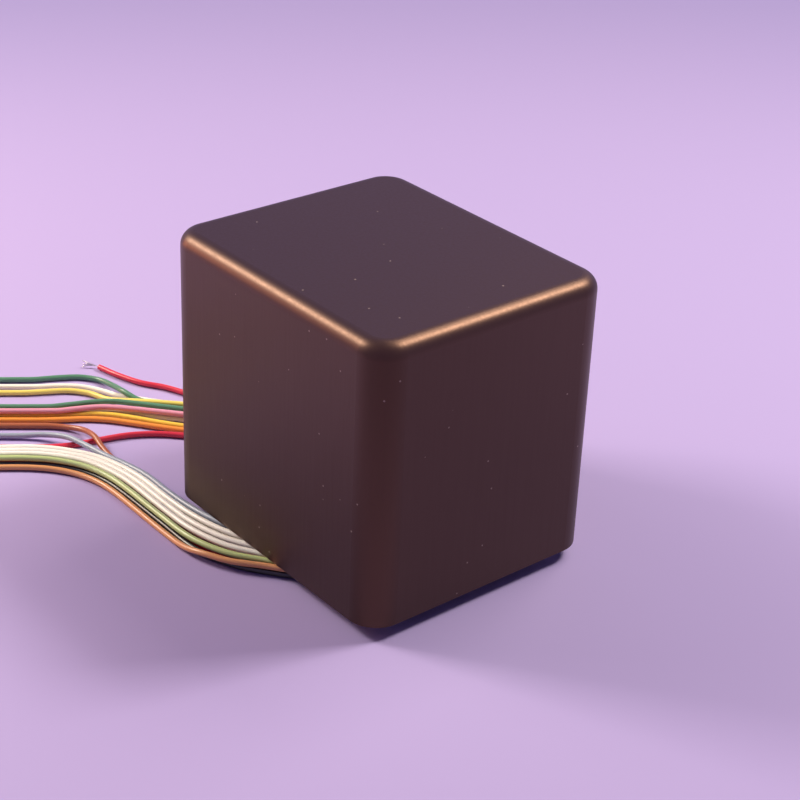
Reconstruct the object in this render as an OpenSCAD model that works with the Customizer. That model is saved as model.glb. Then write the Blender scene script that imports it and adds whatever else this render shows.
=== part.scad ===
// Potted transformer: a laminated core and its coil, potted in a drawn steel can, with flying leads.
// Millimetres, +Z up. The origin is on the surface that it stands on, under the middle of the can.

/* [Can] */
// Outside width of the can, along X
can_w = 68; // [66:1:90]
// Outside depth of the can, along Y
can_d = 57.5; // [55:0.5:80]
// Height of the can from its rim to its top
can_h = 60.5; // [60:0.5:80]
// Thickness of the drawn steel
can_wall = 1; // [0.6:0.1:1.2]
// Outer radius of the four upright corners
can_corner_r = 6.5; // [5:0.5:9]
// Outer radius of the edge around the top
can_top_r = 3.2; // [2:0.1:4.5]

/* [Base plate] */
// Height of the rim above the surface that the bushes stand on
rim_gap = 3; // [3:0.1:5]
// Depth from the rim to the outer face of the base plate
plate_recess = 3.5; // [3:0.1:5]
// Thickness of the base plate
plate_t = 1.5; // [1:0.1:2]
// Clearance between the plate's edge and the can
plate_fit = 0.1; // [0.05:0.05:0.3]

/* [Mounting bushes] */
// Distance between the bushes along X
bush_pitch_x = 50; // [46:1:52]
// Distance between the bushes along Y
bush_pitch_y = 40; // [38:1:42]
// Outside diameter of a bush
bush_d = 8; // [7:0.5:9]
// Bore of a bush, the tapping size of its thread
bush_bore_d = 3.3; // [2.5:0.1:4.2]
// Depth of the blind bore
bush_bore_depth = 6.5; // [5:0.5:6.5]
// Diameter of the spigot that is swaged in the plate
spigot_d = 5.6; // [5.2:0.1:6]
// Diameter of the swaged head inside
swage_d = 7; // [6.4:0.1:8]
// Height of the swaged head
swage_h = 0.8; // [0.5:0.1:1.2]
// Chamfer around the foot of a bush and the mouth of its bore
bush_chamfer = 0.4; // [0.2:0.1:0.6]

/* [Grommets] */
// Distance of each grommet's centre from the middle of the can, along X
grommet_x = 5; // [4.5:0.5:5.5]
// Distance of each grommet's centre from the middle of the can, along Y
grommet_y = 16; // [16:0.5:17]
// Clearance between the leads and the opening
grommet_fit = 0.15; // [0.1:0.05:0.4]
// Wall between the opening and the plate
grommet_wall = 1; // [0.8:0.1:1.2]
// How far the flanges lap over the plate
grommet_lap = 1.2; // [0.8:0.1:1.4]
// Thickness of each flange
grommet_flange_t = 1; // [0.8:0.1:1.3]

/* [Core] */
// Gap between the core and each side of the can, filled with potting
core_side_gap = 3; // [2.5:0.1:4]
// Gap between the core and the top of the can, filled with potting
core_top_gap = 2.4; // [2:0.1:4]
// Thickness of the stack of laminations
stack_t = 22; // [21:0.5:22]
// Gap between the E and the I, filled by a strip of paper
core_gap = 0.1; // [0.05:0.05:0.3]
// Diameter of the bolt holes in the laminations
lam_hole_d = 3.5; // [3.2:0.1:3.8]
// Thickness of the pad under the core
pad_t = 2; // [1.5:0.5:3]

/* [Core bolts] */
// Diameter of a core bolt
bolt_d = 3; // [2.5:0.5:3]
// Diameter of a bolt's head
bolt_head_d = 5.6; // [5:0.1:6]
// Height of a bolt's head
bolt_head_h = 2; // [1.5:0.1:2.5]
// Outside diameter of an insulating washer
washer_d = 7; // [6:0.5:8]
// Thickness of an insulating washer
washer_t = 0.5; // [0.3:0.1:1]
// Width across the flats of a nut
nut_af = 5.5; // [5:0.1:6]
// Height of a nut
nut_h = 2.4; // [2:0.1:3]

/* [Coil] */
// Wall of the bobbin's tube and thickness of its flanges
bobbin_t = 1.2; // [0.8:0.1:1.4]
// Clearance of the bobbin in the core
bobbin_fit = 0.3; // [0.2:0.05:0.4]
// Build of the primary winding
primary_t = 3.2; // [2:0.1:3.2]
// Thickness of each layer of insulation
insulation_t = 0.3; // [0.1:0.05:0.35]
// Thickness of the copper screen
screen_t = 0.2; // [0.1:0.05:0.3]
// Build of the secondary winding
secondary_t = 2.6; // [1.5:0.1:2.6]
// Thickness of the outer wrap
wrap_t = 0.4; // [0.2:0.1:0.5]

/* [Leads] */
// Outside diameter of a lead
lead_d = 1.3; // [1:0.05:1.3]
// Distance between the leads in a grommet, along X
lead_pitch_x = 1.6; // [1.55:0.05:1.65]
// Distance between the two rows of leads in a grommet
lead_pitch_y = 2; // [1.9:0.1:2.1]
// Bare, tinned length at the end of each lead
tip_l = 6; // [3:0.5:10]
// Diameter of the tinned strands
tip_d = 0.6; // [0.4:0.05:0.8]

/* [Hidden] */

$fn = 64;
// How far a cut runs past a face
cut = 1;

// Heights
rim_z = rim_gap;
can_top_z = rim_z + can_h;
plate_z = rim_z + plate_recess;
plate_top_z = plate_z + plate_t;
core_z = plate_top_z + pad_t;
core_top_z = can_top_z - can_wall - core_top_gap;
// The width of an outer leg, of the yokes and of the windows
lam_unit = (can_w - 2 * can_wall - 2 * core_side_gap) / 6;
window_z = core_z + lam_unit + core_gap;
window_h = core_top_z - lam_unit - window_z;
grommet_top_z = plate_top_z + grommet_flange_t;
grommet_exit_z = plate_z - grommet_flange_t;

// Base plate
plate_inset = can_wall + plate_fit;

// Opening of a grommet, around six columns and two rows of leads
opening_l = 5 * lead_pitch_x + lead_d + 2 * grommet_fit;
opening_w = lead_pitch_y + lead_d + 2 * grommet_fit;
opening_r = lead_d / 2 + grommet_fit;

// Core plan
core_w = 6 * lam_unit;
leg_w = 2 * lam_unit;
bolt_x = core_w / 2 - lam_unit / 2;
bolt_low_z = core_z + lam_unit / 2;
bolt_high_z = core_top_z - lam_unit / 2;
bolt_stick_out = 1;

// Coil: how far each layer stands out from the inside of the bobbin's tube
tube_in_w = leg_w + 2 * bobbin_fit;
tube_in_d = stack_t + 2 * bobbin_fit;
primary_out = bobbin_t + primary_t;
inner_insulation_out = primary_out + insulation_t;
screen_out = inner_insulation_out + screen_t;
outer_insulation_out = screen_out + insulation_t;
secondary_out = outer_insulation_out + secondary_t;
wrap_out = secondary_out + wrap_t;
flange_over = 0.3;
flange_out = wrap_out + flange_over;
bobbin_z = window_z + bobbin_fit;
bobbin_h = window_h - 2 * bobbin_fit;
winding_z = bobbin_z + bobbin_t;
winding_h = bobbin_h - 2 * bobbin_t;

// Places of the leads in a grommet, counted from its middle
front_columns = [-2.5, -1.5, -0.5, 0.5, 1.5, 2.5];
rear_columns = [-2, -1, 0, 1, 2];
rows = [-0.5, 0.5];

// Tube of a lead: sides of its section and the distance between its rings
lead_sides = 8;
ring_step = 4;
ring_reference = [1, -1, 1];

// Heights of a lead's middle: on the surface, just touching down, half way up, and on other leads
low_z = lead_d / 2 + 0.05;
touch_z = low_z + 0.1;
high_z = low_z + lead_d + 0.1;
mid_z = (low_z + high_z) / 2;

// How a lead drops from its grommet: distance along its heading, and height
high_drop = [
    [0, grommet_top_z], [0, grommet_exit_z], [0.5, high_z + 1.8], [1.75, high_z + 0.5], [3.5, high_z]
];
low_drop = [
    [0, grommet_top_z], [0, grommet_exit_z], [0.55, low_z + 2.1], [2.1, low_z + 0.6], [4.2, touch_z]
];

// Colours
can_black = "#1b1718";
steel = "#b9bbb8";
rubber_black = "#26262a";
lamination = "#6f7378";
fibre = "#b98a5a";
copper = "#b5652f";
tape_yellow = "#e2c655";
nylon = "#e9e4d2";
epoxy = "#3a3431";
tin = "#d9dadb";
grey_pvc = "#b3b7ae";
white_pvc = "#e8e9e2";
lime_pvc = "#b9c04a";
tan_pvc = "#cfa36b";
copper_pvc = "#b06a3c";
cream_pvc = "#e3d9b4";
brown_pvc = "#6b4630";
red_pvc = "#a5342c";
black_pvc = "#202022";
yellow_pvc = "#d8c24a";
green_pvc = "#4f7a4a";
pink_pvc = "#c98f8a";
gold_pvc = "#b98d3a";
orange_pvc = "#c9743c";

// Where a lead starts, in the plan: its column counts along X, its row along Y
function front_place(column, row) = [
    grommet_x + column * lead_pitch_x, -grommet_y + row * lead_pitch_y
];
function rear_place(column, row) = [
    -grommet_x + column * lead_pitch_x, grommet_y + row * lead_pitch_y
];

// A whole route: the drop from the place in the grommet, then the run along the surface
function route(place, heading, drop, run) = concat(
    [for (p = drop) [place[0] + p[0] * cos(heading), place[1] + p[0] * sin(heading), p[1]]],
    run
);

// Routes of the leads that leave the front grommet. The outer row lies on the inner row's leads.
lead_f_grey_route = route(front_place(-2.5, -0.5), -125, high_drop, [
    [-4, -22.4, high_z], [-9, -25.2, high_z], [-18, -28.2, high_z], [-26, -29.6, high_z],
    [-34, -30, high_z], [-42, -30, high_z], [-49, -31.1, high_z], [-55, -32.7, high_z],
    [-61, -33.8, high_z], [-67, -35.4, high_z], [-72, -38.4, mid_z], [-76, -43, touch_z],
    [-107, -86.5, low_z]
]);
lead_f_white_1_route = route(front_place(-1.5, -0.5), -118, high_drop, [
    [-1.9, -23.3, high_z], [-7, -26.2, high_z], [-15, -29.4, high_z], [-24, -31.1, high_z],
    [-33, -31.5, high_z], [-42, -31.5, high_z], [-49.3, -32.6, high_z], [-56.2, -34.9, high_z],
    [-62.5, -39, high_z], [-67.5, -44, high_z], [-72.5, -51.4, high_z], [-102, -92.5, high_z]
]);
lead_f_white_2_route = route(front_place(-0.5, -0.5), -112, high_drop, [
    [0.3, -24, high_z], [-5, -27.2, high_z], [-12, -30.7, high_z], [-21, -32.7, high_z],
    [-31, -33, high_z], [-42, -33, high_z], [-48.9, -34, high_z], [-55.6, -36.2, high_z],
    [-61.6, -40.2, high_z], [-66.4, -45.1, high_z], [-71.4, -52.4, high_z], [-100, -92.5, high_z]
]);
lead_f_white_3_route = route(front_place(0.5, -0.5), -107, high_drop, [
    [2.3, -24.6, high_z], [-3, -28.3, high_z], [-9.5, -32, high_z], [-19, -34.3, high_z],
    [-30, -34.6, high_z], [-42, -34.6, high_z], [-48.6, -35.5, high_z], [-55, -37.5, high_z],
    [-60.7, -41.3, high_z], [-65.3, -46, high_z], [-70.3, -53.2, high_z], [-97.5, -91.5, high_z]
]);
lead_f_lime_route = route(front_place(1.5, -0.5), -103, high_drop, [
    [4.2, -25.2, high_z], [-1, -29.4, high_z], [-7.2, -33.5, high_z], [-16, -36.2, high_z],
    [-28, -36.5, high_z], [-42, -36.5, high_z], [-48.3, -37.2, high_z], [-54.1, -39.1, high_z],
    [-59.5, -42.6, high_z], [-63.8, -47.1, high_z], [-68.8, -54.2, high_z], [-95.5, -92, high_z]
]);
lead_f_tan_route = route(front_place(2.5, -0.5), -99, high_drop, [
    [6.1, -26, high_z], [1, -30.4, high_z], [-4, -34.6, high_z], [-9.5, -37.4, high_z],
    [-14, -38.4, mid_z], [-19, -38.4, touch_z], [-30, -38.3, low_z], [-42, -38.2, low_z],
    [-48, -38.8, low_z], [-53.5, -40.6, low_z], [-58.5, -43.9, low_z], [-62.5, -48.1, low_z],
    [-67.5, -55.2, low_z], [-93, -91.5, low_z]
]);
lead_f_copper_route = route(front_place(-2.5, 0.5), -122, low_drop, [
    [-4.4, -22, low_z], [-9.5, -24.8, low_z], [-17, -27.6, low_z], [-25, -29.4, low_z],
    [-33, -29.8, low_z], [-42, -29.8, low_z], [-49, -30.4, low_z], [-54.5, -31, touch_z],
    [-59.5, -30.8, mid_z], [-64, -30.2, high_z], [-69, -30.2, mid_z], [-73, -32, touch_z],
    [-76.5, -35.5, low_z], [-106.5, -78, low_z]
]);
lead_f_white_4_route = route(front_place(-1.5, 0.5), -116, low_drop, [
    [-2, -22.7, low_z], [-6.8, -25.7, low_z], [-13.5, -28.6, low_z], [-21, -30.6, low_z],
    [-31, -31.2, low_z], [-42, -31.2, low_z], [-49.4, -31.9, low_z], [-56.5, -34.2, low_z],
    [-63, -38.4, low_z], [-68, -43.6, low_z], [-73, -51, low_z], [-100.5, -89.5, low_z]
]);
lead_f_cream_route = route(front_place(-0.5, 0.5), -111, low_drop, [
    [0.2, -23.4, low_z], [-4.4, -26.6, low_z], [-11, -29.8, low_z], [-19.5, -32.1, low_z],
    [-30, -32.6, low_z], [-42, -32.6, low_z], [-49.1, -33.3, low_z], [-55.9, -35.5, low_z],
    [-62.1, -39.5, low_z], [-66.9, -44.6, low_z], [-71.9, -51.9, low_z], [-98.5, -89.5, low_z]
]);
lead_f_brown_route = route(front_place(0.5, 0.5), -106, low_drop, [
    [2.3, -24, low_z], [-2.2, -27.6, low_z], [-8.5, -31.2, low_z], [-17.5, -33.6, low_z],
    [-29, -34, low_z], [-42, -34, low_z], [-48.8, -34.7, low_z], [-55.3, -36.8, low_z],
    [-61.2, -40.6, low_z], [-65.8, -45.5, low_z], [-70.8, -52.7, low_z], [-96.5, -89, low_z]
]);
lead_f_red_route = route(front_place(1.5, 0.5), -102, low_drop, [
    [4.4, -24.7, low_z], [0, -28.5, low_z], [-6, -32.4, low_z], [-15, -35.1, low_z],
    [-27, -35.4, low_z], [-42, -35.4, low_z], [-48.6, -36, low_z], [-54.7, -38.1, low_z],
    [-60.3, -41.7, low_z], [-64.7, -46.3, low_z], [-69.7, -53.5, low_z], [-94.5, -88.5, low_z]
]);
lead_f_black_route = route(front_place(2.5, 0.5), -98, low_drop, [
    [6.4, -25.4, low_z], [2.2, -29.3, low_z], [-3.8, -33.4, low_z], [-13, -36.6, low_z],
    [-26, -36.8, low_z], [-42, -36.8, low_z], [-48.3, -37.4, low_z], [-54.1, -39.3, low_z],
    [-59.4, -42.8, low_z], [-63.6, -47.2, low_z], [-68.6, -54.4, low_z], [-92.5, -88, low_z]
]);

// Routes of the leads that leave the rear grommet and cross under the can
lead_r_red_short_route = route(rear_place(-2, -0.5), -170, high_drop, [
    [-16, 13, high_z], [-25, 12.6, high_z], [-34, 12.4, high_z], [-42, 11.2, mid_z],
    [-49, 9, touch_z], [-57, 5.5, low_z], [-65, 1.8, low_z], [-71, -0.6, low_z],
    [-77, -3.3, low_z], [-82, -6.6, low_z], [-88.5, -9, low_z], [-94.5, -10.4, low_z]
]);
lead_r_yellow_route = route(rear_place(-1, -0.5), -148, high_drop, [
    [-14, 11.5, high_z], [-24, 11, high_z], [-34, 10.6, high_z], [-44, 8, high_z],
    [-54, 3, high_z], [-62.7, -3.7, high_z], [-68.9, -9.8, high_z], [-73.9, -14.3, mid_z + 0.3],
    [-79, -17.3, touch_z], [-84.5, -19.4, low_z], [-88.2, -22.6, low_z], [-90.8, -27, low_z],
    [-93.6, -32, low_z], [-113.5, -60, low_z]
]);
lead_r_green_1_route = route(rear_place(0, -0.5), -140, high_drop, [
    [-12, 10, high_z], [-23, 9.3, high_z], [-34, 8.8, high_z], [-44, 6, high_z],
    [-54, 0.5, high_z], [-61, -5.2, high_z], [-67, -10.5, high_z], [-71.5, -14.4, high_z],
    [-75.5, -18.2, high_z], [-78, -22.5, high_z], [-79.8, -27, high_z], [-82, -32, high_z],
    [-106.5, -66, high_z]
]);
lead_r_pink_route = route(rear_place(1, -0.5), -132, high_drop, [
    [-9.7, 8.6, high_z], [-22, 7.6, high_z], [-34, 7, high_z], [-44, 3.5, high_z],
    [-53, -2, high_z], [-61, -8.5, high_z], [-66.5, -13.5, high_z], [-71, -17.7, high_z],
    [-74.8, -22, high_z], [-77, -26.5, high_z], [-79.2, -31.5, high_z], [-104.5, -67, high_z]
]);
lead_r_red_route = route(rear_place(2, -0.5), -127, high_drop, [
    [-7.6, 7.4, high_z], [-21, 5.8, high_z], [-33, 5.2, high_z], [-39, 2.4, high_z],
    [-43.5, -1.8, mid_z], [-48.5, -6.8, touch_z], [-53.8, -11.6, low_z], [-58.4, -16.4, low_z],
    [-61.8, -22, low_z], [-63.7, -28.2, low_z], [-65.2, -34.5, low_z], [-67.8, -40, low_z],
    [-93, -75.5, low_z]
]);
lead_r_white_route = route(rear_place(-2, 0.5), -154, low_drop, [
    [-17, 12.8, low_z], [-24, 12, low_z], [-34, 11.5, low_z], [-44, 9, low_z],
    [-54, 4, low_z], [-63, -2, low_z], [-70, -7.4, low_z], [-75.5, -11.6, low_z],
    [-79.3, -14.4, low_z], [-84, -16.5, low_z], [-88.2, -19.2, low_z], [-91.5, -23.2, low_z],
    [-94.6, -28.4, low_z], [-116, -58, low_z]
]);
lead_r_green_2_route = route(rear_place(-1, 0.5), -144, low_drop, [
    [-14.5, 11.2, low_z], [-23, 10.5, low_z], [-34, 10, low_z], [-44, 7.4, low_z],
    [-54, 2.3, low_z], [-63, -3.8, low_z], [-69.5, -9, touch_z], [-74, -12.3, mid_z],
    [-78.4, -13.6, high_z], [-83.4, -13.4, mid_z], [-88.6, -14, touch_z], [-92.6, -16.8, low_z],
    [-95.4, -21.4, low_z], [-98.2, -27, low_z], [-115.5, -51.5, low_z]
]);
lead_r_cream_route = route(rear_place(0, 0.5), -136, low_drop, [
    [-12.5, 9.9, low_z], [-22, 9, low_z], [-34, 8.5, low_z], [-44, 5.2, low_z],
    [-53, -0.8, low_z], [-60.5, -7.8, low_z], [-65, -11.8, low_z], [-69.5, -15.4, low_z],
    [-73.6, -18.8, low_z], [-77, -22.6, low_z], [-79.6, -26.6, low_z], [-82, -31, low_z],
    [-106, -65, low_z]
]);
lead_r_gold_route = route(rear_place(1, 0.5), -128, low_drop, [
    [-10, 8.6, low_z], [-21, 7.5, low_z], [-34, 7, low_z], [-43.2, 3, low_z],
    [-51, -3.2, low_z], [-58, -9.8, low_z], [-62.6, -13.4, low_z], [-67.4, -16.8, low_z],
    [-72, -20.4, low_z], [-75.4, -24.2, low_z], [-78, -28.4, low_z], [-80.6, -32.8, low_z],
    [-104, -65.5, low_z]
]);
lead_r_orange_route = route(rear_place(2, 0.5), -122, low_drop, [
    [-7.8, 7.5, low_z], [-20, 6, low_z], [-34, 5.5, low_z], [-42.2, 1.2, low_z],
    [-49.7, -4.8, low_z], [-56.8, -11.2, low_z], [-61.4, -15, low_z], [-66, -18.6, low_z],
    [-70.4, -22.2, low_z], [-73.8, -26, low_z], [-76.4, -30.2, low_z], [-79.2, -34.8, low_z],
    [-101.5, -66, low_z]
]);
all_routes = [
    lead_f_grey_route, lead_f_white_1_route, lead_f_white_2_route, lead_f_white_3_route,
    lead_f_lime_route, lead_f_tan_route, lead_f_copper_route, lead_f_white_4_route,
    lead_f_cream_route, lead_f_brown_route, lead_f_red_route, lead_f_black_route,
    lead_r_red_short_route, lead_r_yellow_route, lead_r_green_1_route, lead_r_pink_route,
    lead_r_red_route, lead_r_white_route, lead_r_green_2_route, lead_r_cream_route,
    lead_r_gold_route, lead_r_orange_route
];

// Smooth curve through a route's points
function chord(p, i) = norm(p[i + 1] - p[i]);
function slope(p, i) =
    i == 0 ? (p[1] - p[0]) / chord(p, 0)
    : i == len(p) - 1 ? (p[i] - p[i - 1]) / chord(p, i - 1)
    : (p[i + 1] - p[i - 1]) / (chord(p, i - 1) + chord(p, i));
function between(p, i, t) =
    (2 * t * t * t - 3 * t * t + 1) * p[i]
    + (t * t * t - 2 * t * t + t) * chord(p, i) * slope(p, i)
    + (3 * t * t - 2 * t * t * t) * p[i + 1]
    + (t * t * t - t * t) * chord(p, i) * slope(p, i + 1);
function steps(p, i) = max(1, round(chord(p, i) / ring_step));
function ring_centres(p) = concat(
    [for (i = [0:len(p) - 2]) for (k = [0:steps(p, i) - 1]) between(p, i, k / steps(p, i))],
    [p[len(p) - 1]]
);

// Section of the tube around one ring's centre
function unit(v) = v / norm(v);
function direction(c, i) = unit(c[min(i + 1, len(c) - 1)] - c[max(i - 1, 0)]);
function ring(c, i) =
    let(t = direction(c, i), u = unit(cross(t, ring_reference)), v = cross(t, u))
    [for (k = [0:lead_sides - 1])
        c[i] + lead_d / 2 * (u * cos(k * 360 / lead_sides) + v * sin(k * 360 / lead_sides))];

module lead(p) {
    c = ring_centres(p);
    n = lead_sides;
    last = len(c) - 1;
    points = [for (i = [0:last]) each ring(c, i)];
    sides = [for (i = [0:last - 1]) for (k = [0:n - 1])
        let(a = i * n + k, b = i * n + (k + 1) % n)
        each [[a, a + n, b + n], [a, b + n, b]]];
    first_cap = [[for (k = [0:n - 1]) k]];
    last_cap = [[for (k = [n - 1:-1:0]) last * n + k]];
    polyhedron(points = points, faces = concat(sides, first_cap, last_cap), convexity = 6);
}

// The bare end of a lead, from the last point of its route
module tinned_end(p) {
    last = len(p) - 1;
    run = p[last] - p[last - 1];
    translate(p[last])
        rotate([0, 0, atan2(run[1], run[0])])
            rotate([0, 90, 0])
                cylinder(h = tip_l, d = tip_d, $fn = 16);
}

// Rectangle with round corners, centred
module round_rectangle(w, d, r) {
    square([w - 2 * r, d], center = true);
    square([w, d - 2 * r], center = true);
    for (x = [-1, 1], y = [-1, 1])
        translate([x * (w / 2 - r), y * (d / 2 - r)])
            circle(r = r);
}

module round_block(w, d, r, z, h) {
    translate([0, 0, z])
        linear_extrude(height = h)
            round_rectangle(w, d, r);
}

// Outline of the drawn form from the middle of a corner outwards: upright side, rounded edge, flat top
module drawn_profile(corner_r, top_r, z, h) {
    translate([0, z])
        square([corner_r, h - top_r]);
    translate([0, z + h - top_r])
        square([corner_r - top_r, top_r]);
    translate([corner_r - top_r, z + h - top_r])
        intersection() {
            circle(r = top_r);
            square(top_r);
        }
}

// The can's form, moved in by a wall or not: four corners turned, four sides and the middle extruded
module drawn_form(inset, z) {
    corner_r = can_corner_r - inset;
    top_r = can_top_r - inset;
    h = can_top_z - inset - z;
    side_w = can_w - 2 * can_corner_r;
    side_d = can_d - 2 * can_corner_r;
    for (a = [0:3])
        translate([
            (a == 0 || a == 3 ? 1 : -1) * side_w / 2,
            (a < 2 ? 1 : -1) * side_d / 2,
            0
        ])
            rotate([0, 0, 90 * a])
                rotate_extrude(angle = 90)
                    drawn_profile(corner_r, top_r, z, h);
    for (a = [0, 180]) {
        rotate([0, 0, a])
            translate([side_w / 2, side_d / 2, 0])
                rotate([90, 0, 0])
                    linear_extrude(height = side_d)
                        drawn_profile(corner_r, top_r, z, h);
        rotate([0, 0, a])
            translate([-side_w / 2, side_d / 2, 0])
                rotate([90, 0, 90])
                    linear_extrude(height = side_w)
                        drawn_profile(corner_r, top_r, z, h);
    }
    translate([-side_w / 2, -side_d / 2, z])
        cube([side_w, side_d, h]);
}

module can() {
    color(can_black)
        difference() {
            drawn_form(0, rim_z);
            drawn_form(can_wall, rim_z - cut);
        }
}

module at_bushes() {
    for (x = [-1, 1], y = [-1, 1])
        translate([x * bush_pitch_x / 2, y * bush_pitch_y / 2, 0])
            children();
}

module base_plate() {
    color(steel)
        difference() {
            round_block(
                can_w - 2 * plate_inset, can_d - 2 * plate_inset, can_corner_r - plate_inset, plate_z, plate_t
            );
            at_bushes()
                translate([0, 0, plate_z - cut])
                    cylinder(h = plate_t + 2 * cut, d = spigot_d);
            for (s = [-1, 1])
                translate([-s * grommet_x, s * grommet_y, 0])
                    grommet_block(grommet_wall, plate_z - cut, plate_t + 2 * cut);
        }
}

module mounting_bushes() {
    color(steel)
        at_bushes()
            difference() {
                union() {
                    cylinder(h = bush_chamfer, d1 = bush_d - 2 * bush_chamfer, d2 = bush_d);
                    translate([0, 0, bush_chamfer])
                        cylinder(h = plate_z - bush_chamfer, d = bush_d);
                    translate([0, 0, plate_z])
                        cylinder(h = plate_t, d = spigot_d);
                    translate([0, 0, plate_top_z])
                        cylinder(h = swage_h, d = swage_d);
                }
                translate([0, 0, -cut])
                    cylinder(h = bush_bore_depth + cut, d = bush_bore_d);
                translate([0, 0, -cut])
                    cylinder(
                        h = bush_chamfer + cut, d1 = bush_bore_d + 2 * (bush_chamfer + cut), d2 = bush_bore_d
                    );
            }
}

// The form of a grommet's opening, made larger all round by a margin
module grommet_block(margin, z, h) {
    round_block(
        opening_l + 2 * margin, opening_w + 2 * margin, opening_r + margin, z, h
    );
}

module grommet() {
    difference() {
        union() {
            grommet_block(grommet_wall + grommet_lap, grommet_exit_z, grommet_flange_t);
            grommet_block(grommet_wall, plate_z, plate_t);
            grommet_block(grommet_wall + grommet_lap, plate_top_z, grommet_flange_t);
        }
        grommet_block(0, grommet_exit_z - cut, plate_t + 2 * grommet_flange_t + 2 * cut);
    }
}

module front_grommet() {
    color(rubber_black)
        translate([grommet_x, -grommet_y, 0])
            grommet();
}

module rear_grommet() {
    color(rubber_black)
        translate([-grommet_x, grommet_y, 0])
            grommet();
}

module core_block(x, w, z, h) {
    translate([x, -stack_t / 2, z])
        cube([w, stack_t, h]);
}

module core_pad() {
    color(fibre)
        core_block(-core_w / 2, core_w, plate_top_z, pad_t);
}

module at_bolts(heights) {
    for (x = [-1, 1], z = heights)
        translate([x * bolt_x, 0, z])
            rotate([90, 0, 0])
                children();
}

module bolt_holes(heights) {
    at_bolts(heights)
        cylinder(h = stack_t + 2 * cut, d = lam_hole_d, center = true);
}

module core_e_stack() {
    color(lamination)
        difference() {
            union() {
                core_block(-core_w / 2, core_w, window_z + window_h, lam_unit);
                core_block(-core_w / 2, lam_unit, window_z, window_h);
                core_block(-leg_w / 2, leg_w, window_z, window_h);
                core_block(core_w / 2 - lam_unit, lam_unit, window_z, window_h);
            }
            bolt_holes([bolt_high_z]);
        }
}

module core_i_stack() {
    color(lamination)
        difference() {
            core_block(-core_w / 2, core_w, core_z, lam_unit);
            bolt_holes([bolt_low_z]);
        }
}

module gap_paper() {
    color(nylon)
        core_block(-core_w / 2, core_w, core_z + lam_unit, core_gap);
}

module core_bolts() {
    shank_l = stack_t + 2 * washer_t + nut_h + bolt_stick_out;
    color(steel)
        at_bolts([bolt_low_z, bolt_high_z])
            translate([0, 0, stack_t / 2 + washer_t]) {
                cylinder(h = bolt_head_h, d = bolt_head_d);
                translate([0, 0, -shank_l])
                    cylinder(h = shank_l, d = bolt_d);
            }
}

module bolt_washers() {
    color(fibre)
        at_bolts([bolt_low_z, bolt_high_z])
            for (s = [-1, 1])
                translate([0, 0, s * (stack_t + washer_t) / 2])
                    difference() {
                        cylinder(h = washer_t, d = washer_d, center = true);
                        cylinder(h = washer_t + 2 * cut, d = bolt_d, center = true);
                    }
}

module core_nuts() {
    color(steel)
        at_bolts([bolt_low_z, bolt_high_z])
            translate([0, 0, -stack_t / 2 - washer_t - nut_h])
                difference() {
                    cylinder(h = nut_h, d = nut_af / cos(30), $fn = 6);
                    translate([0, 0, -cut])
                        cylinder(h = nut_h + 2 * cut, d = bolt_d);
                }
}

// One layer around the middle leg, between two build-outs from the inside of the bobbin's tube
module coil_layer(inner, outer, z, h) {
    difference() {
        round_block(tube_in_w + 2 * outer, tube_in_d + 2 * outer, outer, z, h);
        if (inner > 0)
            round_block(tube_in_w + 2 * inner, tube_in_d + 2 * inner, inner, z - cut, h + 2 * cut);
        else
            translate([-tube_in_w / 2, -tube_in_d / 2, z - cut])
                cube([tube_in_w, tube_in_d, h + 2 * cut]);
    }
}

module bobbin() {
    color(nylon) {
        coil_layer(0, bobbin_t, winding_z, winding_h);
        coil_layer(0, flange_out, bobbin_z, bobbin_t);
        coil_layer(0, flange_out, winding_z + winding_h, bobbin_t);
    }
}

module primary_winding() {
    color(copper)
        coil_layer(bobbin_t, primary_out, winding_z, winding_h);
}

module inner_insulation() {
    color(tape_yellow)
        coil_layer(primary_out, inner_insulation_out, winding_z, winding_h);
}

module screen_foil() {
    color(copper)
        coil_layer(inner_insulation_out, screen_out, winding_z, winding_h);
}

module outer_insulation() {
    color(tape_yellow)
        coil_layer(screen_out, outer_insulation_out, winding_z, winding_h);
}

module secondary_winding() {
    color(copper)
        coil_layer(outer_insulation_out, secondary_out, winding_z, winding_h);
}

module coil_wrap() {
    color(tape_yellow)
        coil_layer(secondary_out, wrap_out, winding_z, winding_h);
}

module at_lead_places() {
    for (c = front_columns, r = rows)
        translate(front_place(c, r))
            children();
    for (c = rear_columns, r = rows)
        translate(rear_place(c, r))
            children();
}

module tails() {
    at_lead_places()
        translate([0, 0, grommet_top_z])
            cylinder(h = bobbin_z - grommet_top_z, d = lead_d, $fn = 24);
}

module lead_tails() {
    color(nylon)
        tails();
}

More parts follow.
